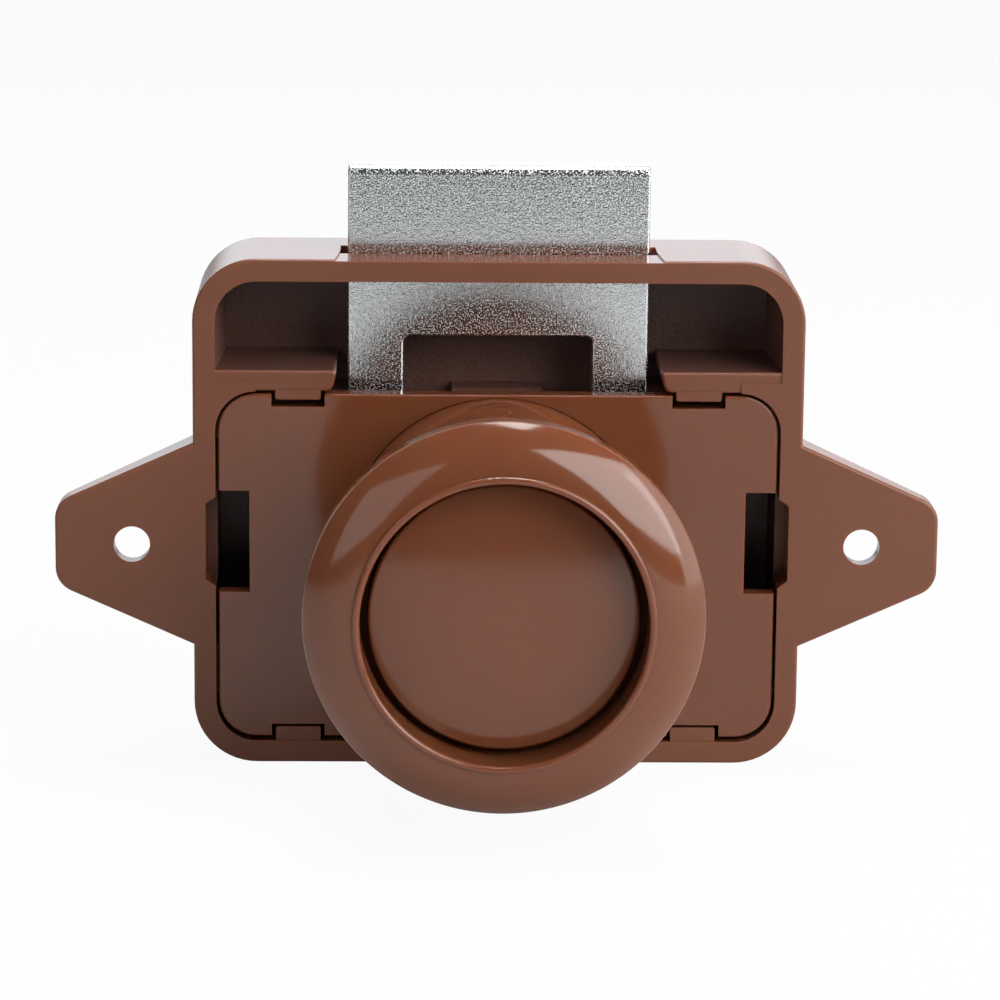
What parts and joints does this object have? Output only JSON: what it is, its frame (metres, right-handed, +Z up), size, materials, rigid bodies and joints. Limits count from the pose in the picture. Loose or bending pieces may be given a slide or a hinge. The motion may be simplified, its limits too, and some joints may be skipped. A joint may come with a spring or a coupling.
{
  "type": "push button cabinet lock",
  "caption": "Push button cabinet lock: screw-on case with ears, sprung latch bolt on top, domed rosette and a push-push button that draws the bolt down as it springs out.",
  "frame": {"origin": "on the button axis, midway between the two screw holes, in the plane of the case front that meets the back of the door", "axes": "+X right as seen from the room, along the line of the two screws; +Y into the cabinet, so the button faces -Y; +Z up, the way the bolt is thrown"},
  "size_m": [0.0756, 0.0412, 0.0514],
  "materials": {
    "brown_abs": "glossy moulded",
    "inner_abs": "moulded",
    "plated_zinc": "bright grainy plating",
    "spring_wire": "drawn wire"
  },
  "bodies": {
    "lock_case": {"case": "brown_abs", "cover_plate": "brown_abs", "barrel": "brown_abs", "bolt_spring_left": "spring_wire", "bolt_spring_right": "spring_wire", "button_spring": "spring_wire", "cam_pin": "spring_wire"},
    "rosette": {"rosette": "brown_abs"},
    "button": {"button_cap": "brown_abs", "plunger": "inner_abs"},
    "bolt": {"latch_bolt": "plated_zinc"}
  },
  "joints": [
    {"name": "button_slide", "type": "slide", "parent": "lock_case", "child": "button", "axis": [0, -1, 0], "range_m": [-0.0007, 0.0072], "deforming": ["button_spring", "cam_pin"]},
    {"name": "bolt_slide", "type": "slide", "parent": "lock_case", "child": "bolt", "axis": [0, 0, -1], "range_m": [-0.0007, 0.0072], "deforming": ["bolt_spring_left", "bolt_spring_right"]},
    {"name": "rosette_slide", "type": "slide", "parent": "lock_case", "child": "rosette", "axis": [0, -1, 0], "range_m": [0, 0.003]}
  ],
  "couplings": [
    {"joint": "bolt_slide", "follows": "button_slide", "ratio": 1}
  ]
}
